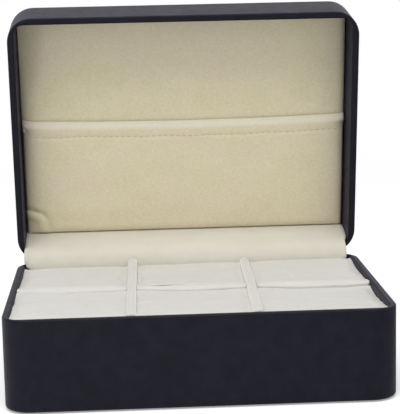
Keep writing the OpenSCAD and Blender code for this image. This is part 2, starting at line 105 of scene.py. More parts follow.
def seen_rays(tree):
    """The kinds of ray, and 1 for those of the camera, of mirrors and of glass: white shows
    to them, and lights nothing."""
    rays = add(tree, "ShaderNodeLightPath", {})
    mirrored = add(tree, "ShaderNodeMath", {0: rays.outputs["Is Glossy Ray"],
        1: rays.outputs["Is Transmission Ray"]}, operation="MAXIMUM")
    seen = add(tree, "ShaderNodeMath", {0: rays.outputs["Is Camera Ray"],
        1: mirrored.outputs[0]}, operation="MAXIMUM")
    return rays, seen.outputs[0]


scene = bpy.context.scene
scene.view_settings.view_transform = "Standard"
world = bpy.data.worlds.new("studio")
world.use_nodes = True
scene.world = world
tree = world.node_tree
tree.nodes.clear()
seen = seen_rays(tree)[1]
WORLD_LIGHT = 0.56
soft = add(tree, "ShaderNodeBackground", {"Color": colour("#fbfcff"), "Strength": WORLD_LIGHT})
white = add(tree, "ShaderNodeBackground", {"Color": (1, 1, 1, 1), "Strength": 1.0})
both = add(tree, "ShaderNodeMixShader", {0: seen, 1: soft.outputs[0], 2: white.outputs[0]})
add(tree, "ShaderNodeOutputWorld", {"Surface": both.outputs[0]})

KEY_PLACE = Vector((-0.11, -0.54, 1.28))
KEY_TARGET = Vector((0, 0.02, 0.06))
KEY_WATTS = 11.4
KEY_SIZE = 0.9
bpy.ops.object.light_add(type="AREA", location=KEY_PLACE)
key = bpy.context.object
key.data.energy = KEY_WATTS
key.data.shape = "DISK"
key.data.size = KEY_SIZE
key.rotation_euler = (KEY_TARGET - KEY_PLACE).to_track_quat("-Z", "Y").to_euler()

FLOOR_SIZE = 6
bpy.ops.mesh.primitive_plane_add(size=FLOOR_SIZE, location=(0, 0, 0))
floor = bpy.context.object
floor.name = "floor"
paper = bpy.data.materials.new("white_studio_paper")
paper.use_nodes = True
tree = paper.node_tree
tree.nodes.clear()
rays, seen = seen_rays(tree)
place = tree.nodes.new("ShaderNodeTexCoord")
across = add(tree, "ShaderNodeSeparateXYZ", {"Vector": place.outputs["Object"]})
# Painted shade in reflections: to glossy rays the table fades towards black at the right,
# standing in for the box's shadow there.
REFLECTED_SHADE_FROM = 0.0
REFLECTED_SHADE_TO = 0.25
REFLECTED_SHADE_DARK = 0.75
reflected_shade = add(tree, "ShaderNodeMapRange", {"Value": across.outputs["X"], "From Min": REFLECTED_SHADE_FROM,
    "From Max": REFLECTED_SHADE_TO, "To Min": 0.0, "To Max": REFLECTED_SHADE_DARK})
shaded_gloss = add(tree, "ShaderNodeMath", {0: rays.outputs["Is Glossy Ray"], 1: reflected_shade.outputs[0]},
    operation="MULTIPLY")
# Near the box the table shows its shadow, a little lifted. Further out it fades to white.
LIFT = 0.3
FADE_FROM = 0.35
FADE_TO = 0.9
away = add(tree, "ShaderNodeVectorMath", {0: place.outputs["Object"]}, operation="LENGTH")
far = add(tree, "ShaderNodeMapRange", {"Value": away.outputs["Value"], "From Min": FADE_FROM,
    "From Max": FADE_TO}, interpolation_type="SMOOTHSTEP")
fade = add(tree, "ShaderNodeMath", {0: seen, 1: far.outputs[0]}, operation="MULTIPLY")
lift = add(tree, "ShaderNodeMath", {0: seen, 1: LIFT}, operation="MULTIPLY")
matt = add(tree, "ShaderNodeBsdfDiffuse", {"Color": colour("#eeeeee")})
glow = add(tree, "ShaderNodeEmission", {"Color": (1, 1, 1, 1), "Strength": lift.outputs[0]})
near = add(tree, "ShaderNodeAddShader", {0: matt.outputs[0], 1: glow.outputs[0]})
backdrop = add(tree, "ShaderNodeEmission", {"Color": (1, 1, 1, 1), "Strength": 1.0})
table = add(tree, "ShaderNodeMixShader", {0: fade.outputs[0], 1: near.outputs[0],
    2: backdrop.outputs[0]})
# The black that glossy rays see at the right: painted shade.
dark = add(tree, "ShaderNodeBsdfDiffuse", {"Color": (0, 0, 0, 1)})
both = add(tree, "ShaderNodeMixShader", {0: shaded_gloss.outputs[0], 1: table.outputs[0],
    2: dark.outputs[0]})
add(tree, "ShaderNodeOutputMaterial", {"Surface": both.outputs[0]})
floor.data.materials.append(paper)


# Covered boards
# Both halves of the case are fibreboard trays, covered in black leatherette: cloth-backed
# plastic, embossed with a fine pebble grain, glued on and turned in over the rims.
def mix(tree, factor, a, b):
    """The colour between a and b."""
    return add(tree, "ShaderNodeMix", {0: factor, 6: a, 7: b}, data_type="RGBA").outputs[2]


def ramp(tree, value, low, high, to_low=0.0, to_high=1.0):
    """value carried from the range low..high to to_low..to_high, and held there."""
    return add(tree, "ShaderNodeMapRange", {"Value": value, "From Min": low, "From Max": high,
        "To Min": to_low, "To Max": to_high}).outputs[0]


def grain(tree, place, size, detail=2.0, roughness=0.5, distortion=0.0):
    """Noise whose patches are about size metres across."""
    return add(tree, "ShaderNodeTexNoise", {"Vector": place, "Scale": 1 / size,
        "Detail": detail, "Roughness": roughness, "Distortion": distortion}).outputs["Fac"]


def material(name):
    """A new material with its node tree, its shader and the piece's own coordinates."""
    made = bpy.data.materials.new(name)
    made.use_nodes = True
    tree = made.node_tree
    shader = tree.nodes["Principled BSDF"]
    place = tree.nodes.new("ShaderNodeTexCoord")
    return made, tree, shader, place


def relief(tree, shader, height, depth, strength=1.0):
    """Gives the shader the bumps of height, whose full range is depth metres high."""
    bump = add(tree, "ShaderNodeBump", {"Height": height, "Distance": depth,
        "Strength": strength})
    tree.links.new(bump.outputs[0], shader.inputs["Normal"])


# Leatherette: soft plastic with a satin skin, embossed between rolls. The real pebble is
# about 0.6 mm and is drawn coarser, so that it shows. It breaks up the light along the
# rounded corners, and the skin has a faint violet bloom.
leatherette, tree, shader, place = material("black_leatherette")
PEBBLE = 1.0 * MM
CREASE = 0.45 * MM
MOTTLE = 7 * MM
cells = add(tree, "ShaderNodeTexVoronoi", {"Vector": place.outputs["Object"],
    "Scale": 1 / PEBBLE, "Smoothness": 0.6}, feature="SMOOTH_F1")
creases = grain(tree, place.outputs["Object"], CREASE, detail=3)
height = add(tree, "ShaderNodeMath", {0: cells.outputs["Distance"], 1: creases},
    operation="ADD").outputs[0]
patches = grain(tree, place.outputs["Object"], MOTTLE, detail=4, roughness=0.65)
tone = ramp(tree, patches, 0.35, 0.7)
tree.links.new(mix(tree, tone, colour("#1a1a22"), colour("#20202a")),
    shader.inputs["Base Color"])
gloss = ramp(tree, patches, 0.3, 0.75, 0.50, 0.43)
tree.links.new(gloss, shader.inputs["Roughness"])
shader.inputs["IOR"].default_value = 1.46
shader.inputs["Specular IOR Level"].default_value = 0.1
shader.inputs["Sheen Weight"].default_value = 0.025
shader.inputs["Sheen Roughness"].default_value = 0.5
shader.inputs["Sheen Tint"].default_value = colour("#b79cff")
relief(tree, shader, height, 0.09 * MM, 0.55)


def finish_node(names, made):
    """Gives CAD nodes a material, in the slots that they have."""
    for name in names:
        for slot in frame["nodes"][name].material_slots:
            slot.material = made


finish_node(["base_wrap", "lid_wrap"], leatherette)

# Fibreboard: pressed wood fibres, sawn. The raw brown core shows only at the edges of the
# hinge notches.
fibreboard, tree, shader, place = material("raw_fibreboard")
fibres = grain(tree, place.outputs["Object"], 1.2 * MM, detail=5, roughness=0.7)
tree.links.new(mix(tree, fibres, colour("#8f7452"), colour("#b89c74")),
    shader.inputs["Base Color"])
shader.inputs["Roughness"].default_value = 0.9
relief(tree, shader, fibres, 0.15 * MM)
finish_node(["base_shell", "lid_shell"], fibreboard)

# Felt under the base: pressed black fibres, cut from a roll. It has no gloss, and a fuzz.
felt, tree, shader, place = material("black_felt")
fuzz = grain(tree, place.outputs["Object"], 0.6 * MM, detail=6, roughness=0.75)
tree.links.new(mix(tree, fuzz, colour("#141416"), colour("#2c2c30")),
    shader.inputs["Base Color"])
shader.inputs["Roughness"].default_value = 1.0
shader.inputs["Sheen Weight"].default_value = 0.3
relief(tree, shader, fuzz, 0.3 * MM)
finish_node(["base_felt"], felt)

# Grey board: pressed waste paper with pale and dark flecks. It makes the riser, the tray
# board, the cards under the pads and the lining's card.
greyboard, tree, shader, place = material("grey_board")
flecks = grain(tree, place.outputs["Object"], 0.8 * MM, detail=5, roughness=0.7)
tree.links.new(mix(tree, flecks, colour("#7d776c"), colour("#9b9487")),
    shader.inputs["Base Color"])
shader.inputs["Roughness"].default_value = 0.95
relief(tree, shader, flecks, 0.1 * MM)
finish_node(["tray_riser", "tray_board", "pad_cards", "lining_card"], greyboard)


# Hinges
# Two small barrel hinges of nickel-plated steel, pressed and rolled, riveted inside the
# rear walls. Their barrels fill the notches at the back.
# Nickel plate: bright and slightly warm, with fine streaks along the rolled strip.
nickel, tree, shader, place = material("nickel_plated_steel")
STREAK = 0.25 * MM
along = add(tree, "ShaderNodeMapping", {"Vector": place.outputs["Object"],
    "Scale": (0.12, 1, 1)})
streaks = grain(tree, along.outputs[0], STREAK, detail=3)
shader.inputs["Base Color"].default_value = colour("#c9c8c4")
shader.inputs["Metallic"].default_value = 1.0
tree.links.new(ramp(tree, streaks, 0.3, 0.7, 0.24, 0.4), shader.inputs["Roughness"])
relief(tree, shader, streaks, 0.02 * MM, 0.6)
finish_node(["leaf_base_left", "leaf_base_right", "leaf_lid_left", "leaf_lid_right",
    "pin_left", "pin_right", "rivets_base", "rivets_lid"], nickel)

# Elastic in the hem: rubber threads woven into a tape with fine ribs across. It is hidden
# unless the pocket is pulled open.
elastic, tree, shader, place = material("woven_elastic")
RIB = 4 * MM
ribs = add(tree, "ShaderNodeTexWave", {"Vector": place.outputs["Object"],
    "Scale": 1 / RIB, "Distortion": 0.4}, bands_direction="X")
tree.links.new(mix(tree, ribs.outputs["Fac"], colour("#cfc8b8"), colour("#e6e0d2")),
    shader.inputs["Base Color"])
shader.inputs["Roughness"].default_value = 0.9
relief(tree, shader, ribs.outputs["Fac"], 0.15 * MM)
finish_node(["pocket_elastic"], elastic)


# Pads
# Six cushions: wadding on a card, under pale velvet that is pulled down round the card and
# glued beneath it. Each swells into a soft roll along its front edge.

# Velvet: a short upright pile of about half a millimetre. It has no gloss, pales where it is
# seen along the pile, and keeps the marks of hands as soft patches.
velvet, tree, shader, place = material("pale_velvet")
PILE = 0.5 * MM
CRUSH = 9 * MM
fuzz = grain(tree, place.outputs["Object"], PILE, detail=3, roughness=0.7)
crush = grain(tree, place.outputs["Object"], CRUSH, detail=3, roughness=0.55, distortion=0.6)
tone = mix(tree, ramp(tree, crush, 0.3, 0.72), colour("#d5d2c9"), colour("#dcdad3"))
fleck = mix(tree, ramp(tree, fuzz, 0.35, 0.7), colour("#d2cfc5"), colour("#dfddd7"))
tree.links.new(mix(tree, 0.45, tone, fleck), shader.inputs["Base Color"])
shader.inputs["Roughness"].default_value = 0.95
shader.inputs["Specular IOR Level"].default_value = 0.15
shader.inputs["Sheen Weight"].default_value = 0.8
shader.inputs["Sheen Roughness"].default_value = 0.5
height = add(tree, "ShaderNodeMath", {0: fuzz, 1: crush}, operation="ADD").outputs[0]
relief(tree, shader, height, 0.12 * MM, 0.5)


def only(obj):
    """Makes obj the one object that is selected and active."""
    if bpy.context.object and bpy.context.object.mode != "OBJECT":
        bpy.ops.object.mode_set(mode="OBJECT")
    bpy.ops.object.select_all(action="DESELECT")
    obj.select_set(True)
    bpy.context.view_layer.objects.active = obj
    return obj


def block(name, low, high):
    """A cuboid between two corners, with its object at the origin."""
    bpy.ops.object.select_all(action="DESELECT")
    bpy.ops.mesh.primitive_cube_add(size=1, location=(low + high) / 2)
    made = bpy.context.object
    made.name = name
    made.data.name = name
    made.scale = high - low
    bpy.ops.object.transform_apply(location=True, rotation=True, scale=True)
    return made


def pick_edges(obj, test):
    """In edit mode, with the edges selected whose two ends pass the test together."""
    only(obj)
    bpy.ops.object.mode_set(mode="EDIT")
    bpy.ops.mesh.select_mode(type="EDGE")
    bpy.ops.mesh.select_all(action="DESELECT")
    bpy.ops.object.mode_set(mode="OBJECT")
    points = obj.data.vertices
    for edge in obj.data.edges:
        edge.select = test(*(points[i].co for i in edge.vertices))
    bpy.ops.object.mode_set(mode="EDIT")


def apply_modifier(obj, kind, **settings):
    """Adds one modifier with its settings and applies it."""
    only(obj)
    modifier = obj.modifiers.new(kind.lower(), kind)
    for name, value in settings.items():
        setattr(modifier, name, value)
    bpy.ops.object.modifier_apply(modifier=modifier.name)


def move_points(obj, place_of):
    """Gives every point of the mesh the place that place_of works out from its old one."""
    for point in obj.data.vertices:
        point.co = place_of(point.co)
    obj.data.update()


def unevenness(p, size, seed):
    """Smooth noise from -1 to 1 at a point, in patches of about size."""
    return noise.noise(p / size + Vector((seed, seed * 1.7, -seed)))


def soften(obj):
    only(obj)
    bpy.ops.object.shade_smooth()


COVER_FRAMES = 20
COVER_PRESSURE = 4.0
COVER_STIFF = 15
COVER_BEND = 0.5
COVER_MASS = 0.15


def plump(obj, cap, glued):
    """Blows a cover up from inside with its glued points held, and lets no point move more
    than cap from where it was."""
    before = [point.co.copy() for point in obj.data.vertices]
    group = obj.vertex_groups.new(name="glued")
    group.add([p.index for p in obj.data.vertices if glued(p.co)], 1.0, "REPLACE")
    only(obj)
    cloth = obj.modifiers.new("cloth", "CLOTH")
    cloth.settings.quality = 6
    cloth.settings.mass = COVER_MASS
    cloth.settings.tension_stiffness = COVER_STIFF
    cloth.settings.compression_stiffness = COVER_STIFF
    cloth.settings.bending_stiffness = COVER_BEND
    cloth.settings.use_pressure = True
    cloth.settings.uniform_pressure_force = COVER_PRESSURE
    cloth.settings.vertex_group_mass = "glued"
    cloth.settings.effector_weights.gravity = 0
    cloth.point_cache.frame_end = COVER_FRAMES
    for step in range(1, COVER_FRAMES + 1):
        scene.frame_set(step)
    bpy.ops.object.modifier_apply(modifier="cloth")
    scene.frame_set(1)
    for point, start in zip(obj.data.vertices, before):
        step = point.co - start
        if step.length > cap:
            point.co = start + step * (cap / step.length)
    obj.vertex_groups.clear()
    obj.data.update()


# The nominal cell of each row is its middle pad's box. The real cells are narrower or wider,
# because the right divider leans to the left at the front.
rim_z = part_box("base_wrap")[1].z
inner_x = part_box("lid_lining")[1].x + 0.3 * MM
inner_y = -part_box("pad_front_middle")[0].y + 0.3 * MM
CASE_CORNER = 5 * MM
LEFT_DIVIDER = ((-29.5 * MM, 60 * MM), (-31.6 * MM, -62 * MM))
RIGHT_DIVIDER = ((29.9 * MM, 60 * MM), (26.3 * MM, -62 * MM))
DIVIDER_HALF = (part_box("divider_left")[1].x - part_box("divider_left")[0].x) / 2
SNUG = 0.05 * MM
RIGHT_GROOVE = 0.4 * MM


def smooth(t):
    """0 up to t = 0, 1 from t = 1, and an S curve between."""
    t = min(max(t, 0), 1)
    return t * t * (3 - 2 * t)


def on_line(line, y):
    """x at the depth y on a line from its rear to its front point."""
    (rear_x, rear_y), (front_x, front_y) = line
    return rear_x + (front_x - rear_x) * (y - rear_y) / (front_y - rear_y)


def cell_sides(column, y):
    """Left and right limit of a pad at the depth y: column is -1, 0 or 1. In the case's
    corners the outer limit follows their rounding. A groove shows beside the right ones."""
    left, right = on_line(LEFT_DIVIDER, y), on_line(RIGHT_DIVIDER, y)
    reach = DIVIDER_HALF + SNUG
    into_corner = max(abs(y) - (inner_y - CASE_CORNER), 0)
    edge = inner_x - SNUG - CASE_CORNER + math.sqrt(CASE_CORNER ** 2 - into_corner ** 2)
    return {-1: (-edge, left - reach), 0: (left + reach, right - reach),
        1: (right + reach + RIGHT_GROOVE, edge)}[column]


PAD_CORNER = 1.2 * MM
PAD_EDGE = 1.0 * MM
VOXEL = 1.2 * MM
SWELL = 0.6 * MM
FOOT_DRAWN_IN = (0.97, 0.975, 1)
GLUED_HIGH = 2.5 * MM
PRESSED = 0.012


def plain_pad(name, low, high):
    """A pad before it is fitted to its cell: drawn in at the foot and blown up a little."""
    made = block(name, low + Vector((SWELL, SWELL, 0)) * 0.5,
        high - Vector((SWELL, SWELL, SWELL)) * 0.5)
    pick_edges(made, lambda a, b: abs(a.z - b.z) > MM)
    bpy.ops.mesh.bevel(offset=PAD_CORNER, segments=4)
    top = high.z - SWELL * 0.5
    pick_edges(made, lambda a, b: min(a.z, b.z) > top - MM)
    bpy.ops.mesh.bevel(offset=PAD_EDGE, segments=3)
    pick_edges(made, lambda a, b: max(a.z, b.z) < low.z + MM)
    bpy.ops.transform.resize(value=FOOT_DRAWN_IN)
    bpy.ops.object.mode_set(mode="OBJECT")
    apply_modifier(made, "REMESH", mode="VOXEL", voxel_size=VOXEL)
    plump(made, SWELL, lambda p: p.z < low.z + GLUED_HIGH)
    apply_modifier(made, "SMOOTH", factor=0.5, iterations=1)
    apply_modifier(made, "SUBSURF", levels=1, render_levels=1)
    return made


# Height of the tops along the left and the right wall, as (y, height) in millimetres from
# the back to the front. The tray isn't seated level, and stands higher at the left.
TOPS = {
    "rear": ([(60, 41.0), (46, 41.3), (35, 41.5), (24, 41.7), (14, 41.95), (5, 42.8),
        (0, 43.5), (-3, 43.6)],
        [(60, 41.3), (56, 42.0), (50, 42.2), (45, 42.0), (40, 41.75), (33, 41.6),
        (26, 41.45), (17, 41.7), (9, 41.85), (0, 42.4), (-3, 42.4)]),
    "front": ([(-4.5, 42.7), (-14, 42.3), (-24, 42.6), (-34, 43.0), (-42, 42.95),
        (-50, 42.8), (-59.5, 42.7)],
        [(-4.5, 40.5), (-9, 39.8), (-15, 39.6), (-23, 39.9), (-32, 40.4), (-45, 40.9),
        (-55, 41.8), (-59.5, 42.4)]),
}
SIDE_RISE = 1.2 * MM
BACK_RISE = 0.9 * MM
SIDE_REACH = 2.2 * MM
DIMPLE = 0.25 * MM
DIMPLE_SIZE = 14 * MM
RIPPLE = 0.07 * MM
RIPPLE_SIZE = 4 * MM


def level_at(points, y):
    """Height in metres at the depth y, eased between the points."""
    y = y / MM
    for (y0, z0), (y1, z1) in zip(points, points[1:]):
        if y >= y1 or (y1, z1) == points[-1]:
            t = min(max((y0 - y) / (y0 - y1), 0), 1)
            return (z0 + (z1 - z0) * t * t * (3 - 2 * t)) * MM
    return points[-1][1] * MM


def top_level(row, x, y):
    """Height of the pads' tops, eased from the left wall's list to the right wall's."""
    left, right = TOPS[row]
    share = min(max(x / (2 * inner_x) + 0.5, 0), 1)
    return level_at(left, y) * (1 - share) + level_at(right, y) * share


def pressed_share(value, low, high):
    """Share of value between low and high, with a margin pressed flat at both ends, as the
    cell presses the cushion."""
    share = (value - low) / (high - low)
    return min(max((share - 0.5) * (1 + 2 * PRESSED) + 0.5, 0), 1)


def fit_pad(obj, column, row, low, high, seed):
    """Warps a plain pad into its own cell and shapes its top."""
    flat = high.z - SWELL * 0.5

    def place_of(p):
        share = pressed_share(p.x, low.x, high.x)
        y = low.y + (high.y - low.y) * pressed_share(p.y, low.y, high.y)
        left, right = cell_sides(column, y)
        x = left + (right - left) * share
        up = min(max((p.z - low.z) / (flat - low.z), 0), 1.2)
        beside = max(1 - min(x - left, right - x) / SIDE_REACH, 0)
        behind = max(1 - (high.y - y) / SIDE_REACH, 0) if row == "front" else 0
        lift = top_level(row, x, y) - flat + SIDE_RISE * beside ** 2 + BACK_RISE * behind ** 2
        dimple = unevenness(Vector((x, y, 0)), DIMPLE_SIZE, seed) * DIMPLE
        ripple = unevenness(Vector((x, y, 0)), RIPPLE_SIZE, seed + 9) * RIPPLE
        return Vector((x, y, p.z + up * up * (lift + dimple + ripple)))

    move_points(obj, place_of)


COLUMNS = {"left": -1, "middle": 0, "right": 1}
UNDER_RIM = 1.5 * MM
pads = {}
for row in TOPS:
    low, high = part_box(f"pad_{row}_middle")
    high.z = rim_z - UNDER_RIM
    model = plain_pad(f"cushion_{row}_middle", low, high)
    for side, column in COLUMNS.items():
        if side == "middle":
            piece = model
        else:
            piece = model.copy()
            piece.data = model.data.copy()
            scene.collection.objects.link(piece)
            piece.name = f"cushion_{row}_{side}"
        pads[row, side] = piece
for (row, side), piece in pads.items():
    low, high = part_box(f"pad_{row}_middle")
    high.z = rim_z - UNDER_RIM
    fit_pad(piece, COLUMNS[side], row, low, high, 3 * COLUMNS[side] + len(row))

# A fingertip has left a dent in the right rear pad.
DENT = Vector((49.8 * MM, 17.9 * MM, 0))
DENT_DEEP = 1.4 * MM
DENT_WIDE = 1.4 * MM
DENT_LONG = 4.0 * MM


def near_top(p):
    """0 from 8 mm under the rim down, and 1 from 3 mm under it up."""
    return min(max((p.z - (rim_z - 8 * MM)) / (5 * MM), 0), 1)


def dented(p):
    away = math.hypot((p.x - DENT.x) / DENT_WIDE, (p.y - DENT.y) / DENT_LONG)
    return p - Vector((0, 0, DENT_DEEP * math.exp(-away ** 2) * near_top(p)))


move_points(pads["rear", "right"], dented)

# The slit in the middle pad takes the foot of a cufflink: a cut with soft raised lips.
SLIT_HALF = 23.3 * MM
SLIT_WIDE = 1.1 * MM
SLIT_DEEP = 7 * MM
SLIT_PLACE = 0.2 * MM
SLIT_SLANT = 0.3 * MM
REAR_LIP = 0.3 * MM
REAR_LIP_REACH = 4.5 * MM
FRONT_LIP = 0.1 * MM
FRONT_LIP_REACH = 2.0 * MM
PAST_SLIT = 1.5 * MM
UNDERCUT = 0.9
slit_pad = pads["rear", "middle"]


def slit_y(x):
    """The cut runs along the crest of the roll."""
    return SLIT_PLACE + SLIT_SLANT * x / SLIT_HALF


def raise_lips(p):
    """The rear lip stands over the front one, most of all at the left."""
    t = p.x / (SLIT_HALF + PAST_SLIT)
    if abs(t) >= 1:
        return p
    behind = p.y - slit_y(p.x)
    along = math.sqrt(1 - t * t) * (0.3 + 0.7 * smooth((0.1 - t) / 0.6))
    lip = REAR_LIP if behind > 0 else -FRONT_LIP
    reach = REAR_LIP_REACH if behind > 0 else FRONT_LIP_REACH
    return p + Vector((0, 0, lip * along * near_top(p) * math.exp(-(behind / reach) ** 2)))


move_points(slit_pad, raise_lips)
cutter = block("slit_cutter", Vector((-SLIT_HALF, -SLIT_WIDE / 2, rim_z - SLIT_DEEP)),
    Vector((SLIT_HALF, SLIT_WIDE / 2, rim_z + 5 * MM)))
bpy.ops.object.mode_set(mode="EDIT")
bpy.ops.mesh.select_all(action="SELECT")
bpy.ops.mesh.subdivide(number_cuts=9)
bpy.ops.object.mode_set(mode="OBJECT")


def leaf_shape(p):
    """Draws the cut in to a point at both ends, lets it wander a little, and leans it back.
    It gapes at the left, and is nearly shut from there on."""
    t = p.x / SLIT_HALF
    wide = math.sqrt(max(1 - t * t, 0.02)) * (0.12 + 0.9 * smooth((-0.25 - t) / 0.35))
    wander = unevenness(Vector((p.x, 0, 0)), 12 * MM, 4) * 0.2 * MM
    lean = (rim_z - UNDER_RIM - p.z) * UNDERCUT
    return Vector((p.x, slit_y(p.x) + p.y * wide + wander + lean, p.z))


move_points(cutter, leaf_shape)
apply_modifier(slit_pad, "BOOLEAN", operation="DIFFERENCE", object=cutter, solver="EXACT")
bpy.data.objects.remove(cutter)

for (row, side), piece in pads.items():
    only(piece)
    bpy.ops.object.shade_smooth_by_angle(angle=math.radians(50))
    piece.data.materials.append(velvet)
    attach(piece, "base")
    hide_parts(f"pad_{row}_{side}")


# Dividers
# Cards on edge between the columns, covered in the same velvet, with round tops. They are
# glued to the tray board, and the right one leans.
DIVIDER_CUTS = 60
TOP_ROUND = DIVIDER_HALF * 0.8
END_ROUND = 0.8 * MM
TOP_WAVE = 0.2 * MM
SIDE_NAP = 0.06 * MM


def divider(side, line, rear_rise):
    """One divider along its line. Its rear end stands higher or lower by rear_rise."""
    low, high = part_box(f"divider_{side}")
    made = block(f"velvet_divider_{side}", low, high)
    middle_x = (low.x + high.x) / 2
    pick_edges(made, lambda a, b: min(a.z, b.z) > high.z - MM and abs(a.y - b.y) > MM)
    bpy.ops.mesh.bevel(offset=TOP_ROUND, segments=6)
    pick_edges(made, lambda a, b: abs(a.y - b.y) > MM)
    bpy.ops.mesh.subdivide(number_cuts=DIVIDER_CUTS)
    bpy.ops.object.mode_set(mode="OBJECT")
    pick_edges(made, lambda a, b: abs(a.y - b.y) < 0.1 * MM
        and (min(a.y, b.y) > high.y - 0.1 * MM or max(a.y, b.y) < low.y + 0.1 * MM))
    bpy.ops.mesh.bevel(offset=END_ROUND, segments=3)
    bpy.ops.object.mode_set(mode="OBJECT")

    def place_of(p):
        wave = unevenness(Vector((0, p.y, 0)), 16 * MM, 2) * TOP_WAVE
        nap = unevenness(p, 5 * MM, 6) * SIDE_NAP
        x = on_line(line, p.y) + (p.x - middle_x) + nap
        share = (p.z - low.z) / (high.z - low.z)
        rise = rear_rise * smooth((p.y - 20 * MM) / (38 * MM))
        return Vector((x, p.y, p.z + share * (wave + rise)))

    move_points(made, place_of)
    only(made)
    bpy.ops.object.shade_smooth_by_angle(angle=math.radians(50))
    made.data.materials.append(velvet)
    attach(made, "base")
    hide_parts(f"divider_{side}")


divider("left", LEFT_DIVIDER, 1.2 * MM)
divider("right", RIGHT_DIVIDER, -0.5 * MM)


# Lid lining
# Wadding on a card, under beige suede cloth: a brushed weave with a short nap. It is
# modelled as if the lid were shut, then turned open about the hinges.
joint = frame["joints"][0]
AXIS = Vector(joint["pos_m"])
OPEN = math.radians(joint["range_deg"][1])
open_lid = (
    Matrix.Translation(AXIS) @ Matrix.Rotation(-OPEN, 4, "X") @ Matrix.Translation(-AXIS)
)
shut_lid = open_lid.inverted()


def shut_box(node):
    """Lowest and highest corner of a node of the lid, with the lid shut."""
    points = [shut_lid @ v.co for v in frame["nodes"][node].data.vertices]
    return (Vector([min(p[i] for p in points) for i in range(3)]),
        Vector([max(p[i] for p in points) for i in range(3)]))


# Suede cloth: microfibre, woven, then sanded to a short nap. It is matt and mealy, with paler
# patches where the nap was pushed over. The weave is drawn at 0.7 mm so that it shows.
NAP = 0.7 * MM
NAP_LONG = 0.35


def suede_cloth(name, painted_fold_highlight=None):
    """A new beige suede cloth. Where it is folded, from one v of the UV map to another, it is
    painted paler: a painted highlight along the fold's crest, which faces up to the light."""
    made, tree, shader, place = material(name)
    cloth = place.outputs["Object"]
    wide = add(tree, "ShaderNodeMapping", {"Vector": cloth, "Scale": (NAP_LONG, 1, 1)})
    tall = add(tree, "ShaderNodeMapping", {"Vector": cloth, "Scale": (1, 1, NAP_LONG)})
    weft = grain(tree, wide.outputs[0], NAP, detail=3, roughness=0.65)
    warp = grain(tree, tall.outputs[0], NAP, detail=3, roughness=0.65)
    weave = add(tree, "ShaderNodeMath", {0: weft, 1: warp}, operation="ADD").outputs[0]
    crush = grain(tree, cloth, 11 * MM, detail=3, roughness=0.5, distortion=0.5)
    cloud = grain(tree, cloth, 38 * MM, detail=2)
    fleck = mix(tree, ramp(tree, weave, 0.8, 1.2), colour("#dcd1ab"), colour("#f0e8cc"))
    tone = mix(tree, ramp(tree, crush, 0.3, 0.7), colour("#e3d9b2"), colour("#ebe2c5"))
    tint = mix(tree, ramp(tree, cloud, 0.4, 0.65), tone, colour("#eaddc6"))
    shade = mix(tree, 0.55, fleck, tint)
    if painted_fold_highlight:
        # Painted highlight: the cloth is painted paler along the fold.
        along = add(tree, "ShaderNodeSeparateXYZ", {"Vector": place.outputs["UV"]})
        rise = ramp(tree, along.outputs["Y"], *painted_fold_highlight)
        shade = mix(tree, rise, shade, colour("#f2ecdf"))
    tree.links.new(shade, shader.inputs["Base Color"])
    shader.inputs["Roughness"].default_value = 0.95
    shader.inputs["Specular IOR Level"].default_value = 0.15
    shader.inputs["Sheen Weight"].default_value = 0.22
    shader.inputs["Sheen Roughness"].default_value = 0.5
    relief(tree, shader, weave, 0.1 * MM, 0.6)
    return made


LINING_EDGE = 1.3 * MM
LINING_CORNER = 4.4 * MM
LINING_CROWN = 0.8 * MM
EDGE_SINK = 2.0 * MM
EDGE_REACH = 4.5 * MM
LEFT_SINK = 4.2 * MM
LEFT_REACH = 8.5 * MM
CORNER_REACH = 15 * MM
QUILT = 0.3 * MM
QUILT_SIZE = 22 * MM
LINING_VOXEL = 1.3 * MM
low, high = shut_box("lid_lining")
low.z += LINING_CROWN
lining = block("lining_cushion", low, high)
pick_edges(lining, lambda a, b: abs(a.z - b.z) > MM)
bpy.ops.mesh.bevel(offset=LINING_CORNER, segments=4)
pick_edges(lining, lambda a, b: max(a.z, b.z) < low.z + MM)
bpy.ops.mesh.bevel(offset=LINING_EDGE, segments=3)
bpy.ops.object.mode_set(mode="OBJECT")
apply_modifier(lining, "REMESH", mode="VOXEL", voxel_size=LINING_VOXEL)
LINING_BACK = high.z
LINING_FACE = low.z
FACE_MIDDLE = (low + high) / 2
FACE_HALF = (high - low) / 2


def from_edge(x, y):
    """Distance from the nearest edge of the lining."""
    return min(FACE_HALF.x - abs(x - FACE_MIDDLE.x), FACE_HALF.y - abs(y - FACE_MIDDLE.y))


def crown(x, y):
    """How far the lining's face stands out towards the rim, over its flat edges."""
    share = min(max(from_edge(x, y) / FACE_HALF.y, 0), 1)
    return LINING_CROWN * (1 - (1 - share) ** 2)


def edge_fall(x, y):
    """How far the wadding has sunk towards the edges, most of all along the left one. It
    sinks in a round there, and in a straighter slope towards the front."""
    share = min(max(1 - from_edge(x, y) / EDGE_REACH, 0), 1)
    near_front = smooth((FACE_MIDDLE.y - y) / FACE_HALF.y)
    reach = LEFT_REACH + (CORNER_REACH - LEFT_REACH) * near_front
    left = min(max(1 - (FACE_HALF.x + x - FACE_MIDDLE.x) / reach, 0), 1)
    rounded = 1 - math.sqrt(1 - 0.98 * left ** 2)
    sloping = 0.88 * left ** 1.4
    return max(EDGE_SINK * (1 - math.sqrt(1 - 0.98 * share ** 2)),
        LEFT_SINK * (rounded + (sloping - rounded) * near_front))


def edge_drop(x, y):
    """How far the rounded edge lies under the face, at a point near it."""
    inner = min(max(from_edge(x, y), 0), LINING_EDGE)
    return LINING_EDGE - math.sqrt(LINING_EDGE ** 2 - (LINING_EDGE - inner) ** 2)


def quilt(x, y):
    """Gentle unevenness of the wadding."""
    return unevenness(Vector((x, y, 0)), QUILT_SIZE, 5) * QUILT


